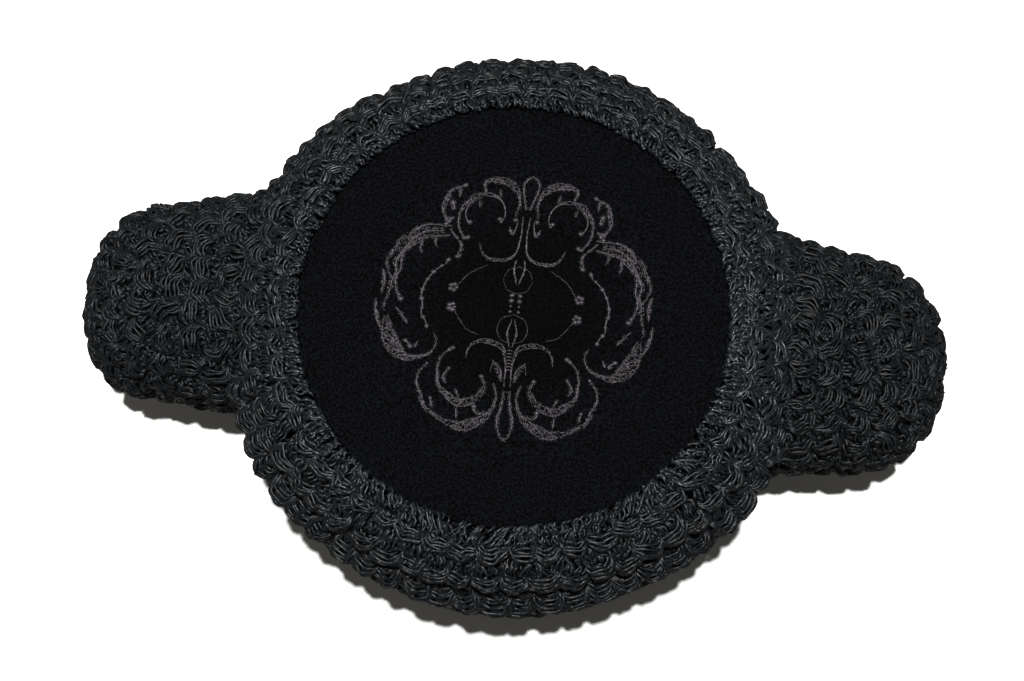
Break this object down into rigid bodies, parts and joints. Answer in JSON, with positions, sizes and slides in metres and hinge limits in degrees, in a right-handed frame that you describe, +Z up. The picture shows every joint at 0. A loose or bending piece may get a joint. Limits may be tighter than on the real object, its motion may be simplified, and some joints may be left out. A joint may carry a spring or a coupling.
{
  "type": "matador hat",
  "caption": "Flat-topped round black matador hat with a sunk velvet top, walls of looped cord rows and a stuffed lobe on each side.",
  "frame": {"origin": "centre of the bounding box at the bottom rim, on the surface that the hat stands on", "axes": "+Z up through the velvet top, X along the two side lobes, -Y towards the front"},
  "size_m": [0.353, 0.2268, 0.0986],
  "materials": {
    "velvet": "short cut pile, matt black",
    "cord": "twisted rayon cord, soft satin black",
    "cloth": "plain woven black cotton"
  },
  "bodies": {
    "root": {"crown_top": "velvet", "crown_wall": "cloth", "crown_loops": "cord", "side_lobe_left": "cord", "side_lobe_right": "cord"}
  },
  "joints": []
}
